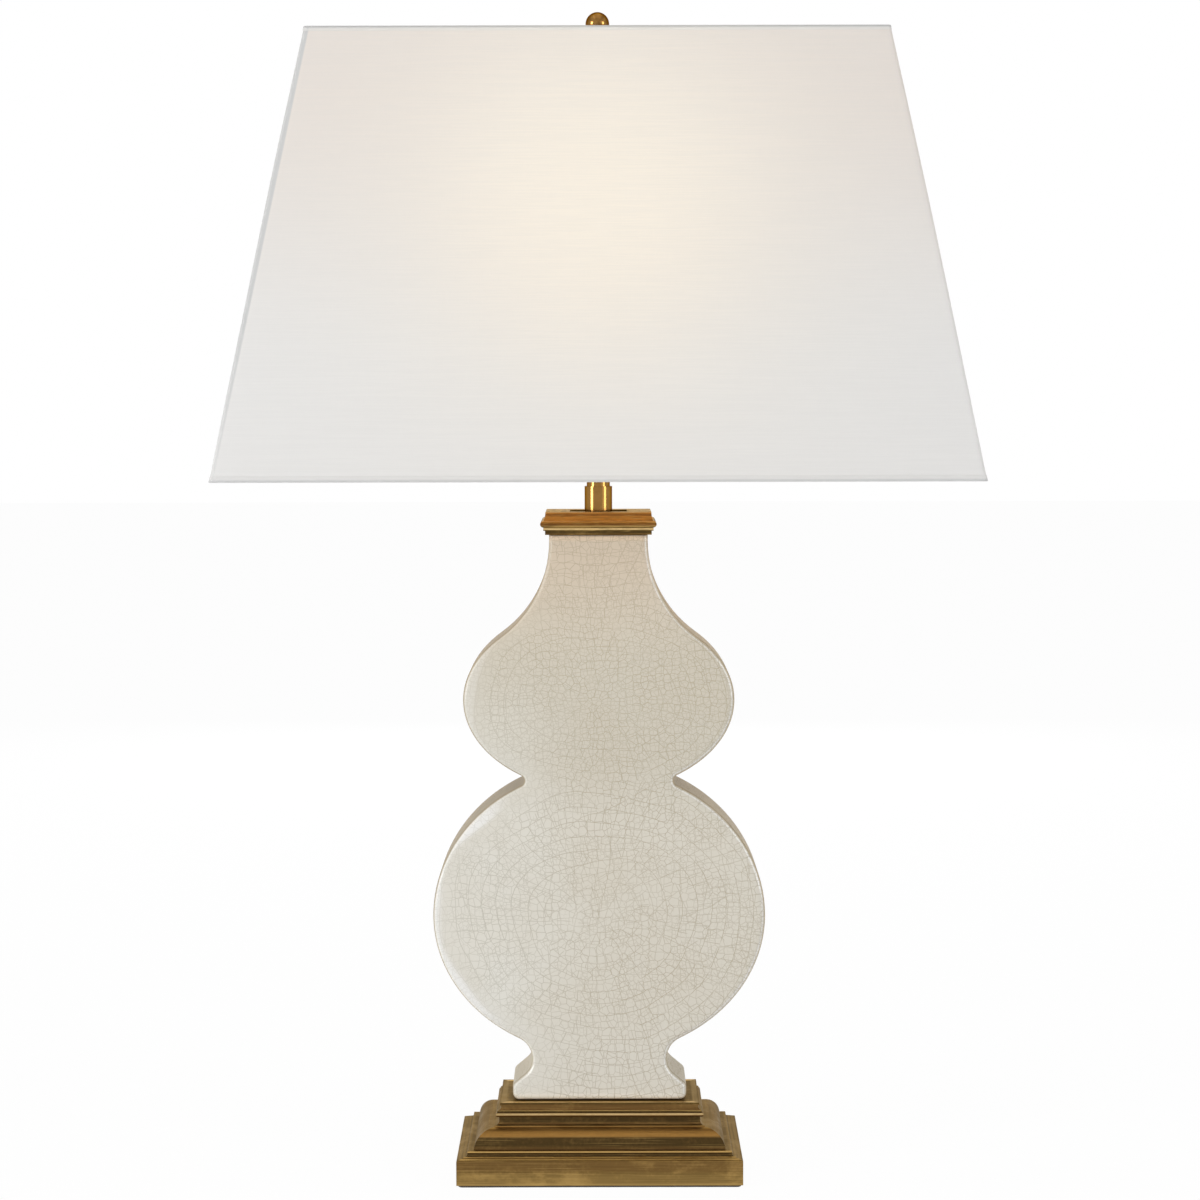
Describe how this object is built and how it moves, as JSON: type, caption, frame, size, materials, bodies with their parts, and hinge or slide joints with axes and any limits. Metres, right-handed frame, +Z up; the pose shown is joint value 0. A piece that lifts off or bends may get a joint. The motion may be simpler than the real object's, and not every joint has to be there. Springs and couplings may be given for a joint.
{
  "type": "table lamp",
  "caption": "Table lamp with a flat double-gourd body of crackled ceramic on a stepped brass base, under a tapered rectangular linen shade with a ball finial.",
  "frame": {"origin": "centre of the underside of the felt pad under the base", "axes": "+Z up, -Y towards the front of the lamp, +X to the viewer's right"},
  "size_m": [0.4922, 0.357, 0.8],
  "materials": {
    "antique_brass": "antique, blotchy, satin",
    "satin_brass": "polished",
    "contact_brass": "bright",
    "crackle_glaze": "glossy, with a fine crackle",
    "linen": "plain weave",
    "linen_trim": "folded tape",
    "styrene": "matt",
    "white_wire": "satin",
    "felt": "napped",
    "gasket": "matt",
    "iron": "as cast",
    "black_steel": "satin",
    "zinc_steel": "zinc plated",
    "black_plastic": "moulded",
    "phenolic": "moulded",
    "insulating_paper": "matt",
    "bulb_metal": "bright",
    "frosted_glass": "frosted"
  },
  "bodies": {
    "lamp_base": {"felt_pad": "felt", "bottom_plate": "black_steel", "base_weight": "iron", "base_plinth": "antique_brass", "base_moulding": "antique_brass", "base_top_tier": "antique_brass", "cord_bushing": "black_plastic", "foot_gasket": "gasket", "gourd_body": "crackle_glaze", "cap_gasket": "gasket", "cap_moulding": "antique_brass", "center_pipe": "zinc_steel", "pipe_washer": "zinc_steel", "pipe_nut": "zinc_steel", "neck_tube": "satin_brass", "neck_collar": "satin_brass", "harp_saddle": "satin_brass", "socket_cap": "satin_brass", "socket_shell": "satin_brass", "socket_sleeve": "insulating_paper", "socket_core": "phenolic", "terminal_screw_left": "satin_brass", "terminal_screw_right": "zinc_steel", "screw_shell": "contact_brass", "center_contact": "contact_brass"},
    "switch": {"switch_stem": "zinc_steel", "switch_knob": "black_plastic"},
    "bulb": {"bulb_cap": "bulb_metal", "bulb_contact": "bulb_metal", "bulb_glass": "frosted_glass"},
    "harp": {"harp_loop": "satin_brass"},
    "sleeve_left": {"harp_sleeve_left": "satin_brass"},
    "sleeve_right": {"harp_sleeve_right": "satin_brass"},
    "stud": {"harp_stud": "satin_brass"},
    "shade": {"shade_cover": "linen", "shade_liner": "styrene", "shade_top_ring": "white_wire", "shade_bottom_ring": "white_wire", "shade_top_trim": "linen_trim", "shade_bottom_trim": "linen_trim", "spider_washer": "white_wire", "spider_arm_left": "white_wire", "spider_arm_right": "white_wire", "spider_arm_front": "white_wire", "spider_arm_back": "white_wire"},
    "finial": {"finial_base": "satin_brass", "finial_ball": "satin_brass"}
  },
  "joints": [
    {"name": "switch_turn", "type": "hinge", "parent": "lamp_base", "child": "switch", "pos_m": [0, -0.0203, 0.5111], "axis": [0, -1, 0], "continuous": true},
    {"name": "bulb_turn", "type": "hinge", "parent": "lamp_base", "child": "bulb", "pos_m": [0, 0, 0.53], "axis": [0, 0, 1], "continuous": true},
    {"name": "harp_lift", "type": "slide", "parent": "lamp_base", "child": "harp", "axis": [0, 0, 1], "range_m": [0, 0.03]},
    {"name": "sleeve_left_lift", "type": "slide", "parent": "harp", "child": "sleeve_left", "axis": [0, 0, 1], "range_m": [0, 0.012]},
    {"name": "sleeve_right_lift", "type": "slide", "parent": "harp", "child": "sleeve_right", "axis": [0, 0, 1], "range_m": [0, 0.012]},
    {"name": "harp_swivel", "type": "hinge", "parent": "harp", "child": "stud", "pos_m": [0, 0, 0.7686], "axis": [0, 0, 1], "continuous": true},
    {"name": "shade_lift", "type": "slide", "parent": "stud", "child": "shade", "axis": [0, 0, 1], "range_m": [0, 0.3]},
    {"name": "finial_turn", "type": "hinge", "parent": "shade", "child": "finial", "pos_m": [0, 0, 0.7686], "axis": [0, 0, 1], "continuous": true}
  ]
}
